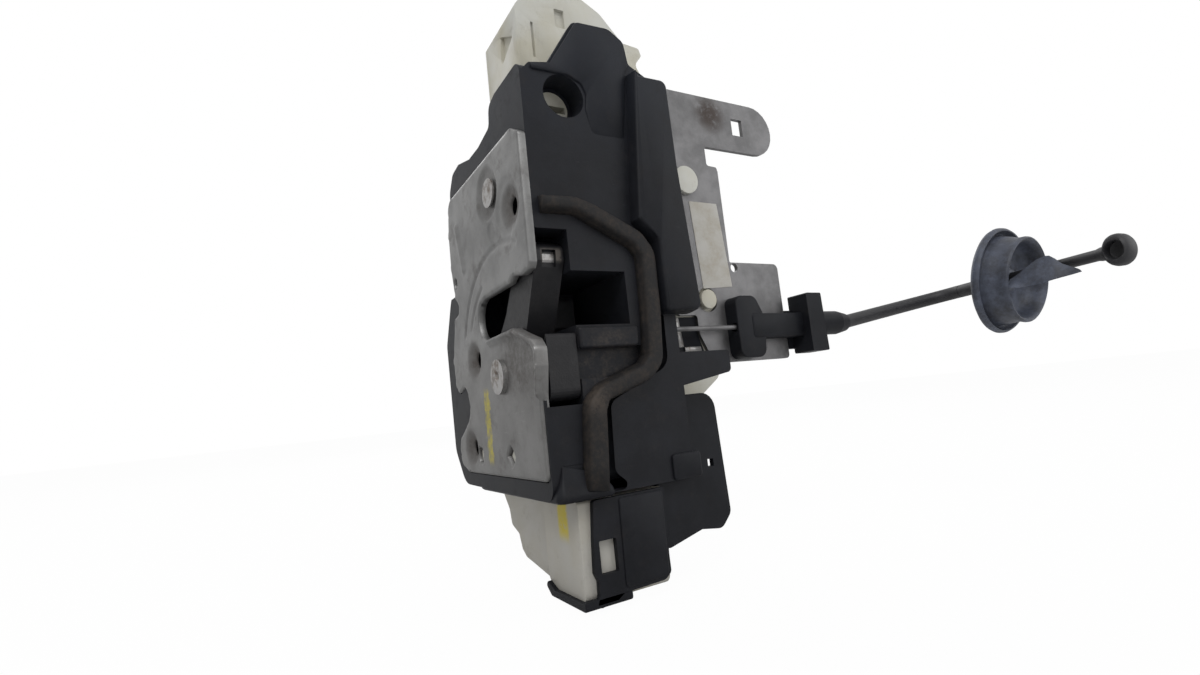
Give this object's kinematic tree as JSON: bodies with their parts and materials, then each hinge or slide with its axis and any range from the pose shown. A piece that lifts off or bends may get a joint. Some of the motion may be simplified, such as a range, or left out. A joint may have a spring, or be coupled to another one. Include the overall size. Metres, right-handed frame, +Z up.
{
  "type": "door latch actuator",
  "caption": "Power door latch: slotted steel face plate with turning claw, black housing, white lock actuator, bracket and release cable with grommet and ball end.",
  "frame": {"origin": "axis of the seated striker, on the outer face of the face plate", "axes": "+X into the door, normal to the face plate; +Y away from the mouth of the latch; +Z up along the face plate"},
  "size_m": [0.2007, 0.1453, 0.1835],
  "materials": {
    "zinc_steel": "dull zinc plate, dirty",
    "bare_steel": "bare, worn",
    "spring_steel": "drawn",
    "black_plastic": "fine matte, dusty",
    "natural_plastic": "unpigmented, satin",
    "black_rubber": "matte",
    "grey_rubber": "dull",
    "brass": "satin",
    "label_film": "satin film"
  },
  "bodies": {
    "latch": {"striker_plate": "zinc_steel", "back_plate": "zinc_steel", "latch_housing": "black_plastic", "striker_buffer": "black_rubber", "claw_pivot": "zinc_steel", "pawl_pivot": "zinc_steel", "claw_spring": "spring_steel", "pawl_spring": "spring_steel", "lever_pins": "zinc_steel", "ajar_switch": "black_plastic", "rear_cover": "black_plastic", "side_cover": "black_plastic", "lower_cover": "black_plastic", "connector_housing": "black_plastic", "connector_pins": "brass", "actuator_housing": "natural_plastic", "actuator_cover": "natural_plastic", "cover_screws": "zinc_steel", "lock_motor": "zinc_steel", "wheel_axle": "zinc_steel", "lock_switch": "black_plastic", "bracket_plate": "zinc_steel", "blank_label": "label_film", "cable_clip": "black_plastic", "cable_sleeve": "black_plastic", "cable_conduit": "black_rubber", "conduit_tip": "black_rubber", "grommet": "grey_rubber"},
    "claw": {"claw_plate": "bare_steel", "claw_cover": "black_plastic"},
    "pawl": {"pawl": "bare_steel", "pawl_sleeve": "natural_plastic"},
    "release": {"release_lever": "zinc_steel"},
    "inside": {"inside_lever": "zinc_steel"},
    "outside": {"outside_lever": "zinc_steel"},
    "wire": {"wire_end": "spring_steel"},
    "rod": {"cable_rod": "black_plastic", "ball_end": "black_plastic"},
    "worm": {"motor_worm": "brass"},
    "wheel": {"worm_wheel": "natural_plastic"},
    "lock": {"lock_lever": "natural_plastic"},
    "cam": {"key_cam": "natural_plastic"}
  },
  "joints": [
    {"name": "claw_turn", "type": "hinge", "parent": "latch", "child": "claw", "pos_m": [0.007, 0.004, -0.0182], "axis": [1, 0, 0], "range_deg": [-60, 0], "stiffness_Nm_per_rad": 0.02},
    {"name": "cable_pull", "type": "slide", "parent": "latch", "child": "wire", "axis": [1, 0, 0], "range_m": [-0.0125, 0]},
    {"name": "rod_slide", "type": "slide", "parent": "latch", "child": "rod", "axis": [-0.2466, -0.9691, 0.0099], "range_m": [-0.0125, 0]},
    {"name": "inside_turn", "type": "hinge", "parent": "latch", "child": "inside", "pos_m": [0.04, -0.011, 0.038], "axis": [0, 1, 0], "range_deg": [0, 15.38]},
    {"name": "release_turn", "type": "hinge", "parent": "latch", "child": "release", "pos_m": [0.0165, 0.0015, 0.035], "axis": [1, 0, 0], "range_deg": [-27.01, 0]},
    {"name": "pawl_turn", "type": "hinge", "parent": "latch", "child": "pawl", "pos_m": [0.007, 0.0015, 0.035], "axis": [1, 0, 0], "range_deg": [-27.01, 0]},
    {"name": "outside_turn", "type": "hinge", "parent": "latch", "child": "outside", "pos_m": [0.027, -0.0148, 0.047], "axis": [0, 1, 0], "range_deg": [0, 25], "stiffness_Nm_per_rad": 0.01},
    {"name": "wheel_turn", "type": "hinge", "parent": "latch", "child": "wheel", "pos_m": [0.05885, 0.0102, -0.0104], "axis": [0, 1, 0], "range_deg": [0, 80]},
    {"name": "worm_turn", "type": "hinge", "parent": "latch", "child": "worm", "pos_m": [0.043, 0.0102, -0.013], "axis": [0, 0, 1], "range_deg": [0, 2080.01]},
    {"name": "lock_turn", "type": "hinge", "parent": "latch", "child": "lock", "pos_m": [0.05885, 0.014, 0.01225], "axis": [0, 1, 0], "range_deg": [-20.01, 0]},
    {"name": "cam_turn", "type": "hinge", "parent": "latch", "child": "cam", "pos_m": [0.0148, -0.01, 0.0553], "axis": [0, 1, 0], "range_deg": [0, 40.01]}
  ],
  "couplings": [
    {"joint": "rod_slide", "follows": "cable_pull", "ratio": 1},
    {"joint": "inside_turn", "follows": "cable_pull", "rad_per_m": -21.456},
    {"joint": "release_turn", "follows": "cable_pull", "rad_per_m": 37.699},
    {"joint": "pawl_turn", "follows": "cable_pull", "rad_per_m": 37.699},
    {"joint": "worm_turn", "follows": "wheel_turn", "ratio": 26},
    {"joint": "lock_turn", "follows": "wheel_turn", "ratio": -0.25},
    {"joint": "cam_turn", "follows": "wheel_turn", "ratio": 0.5}
  ]
}
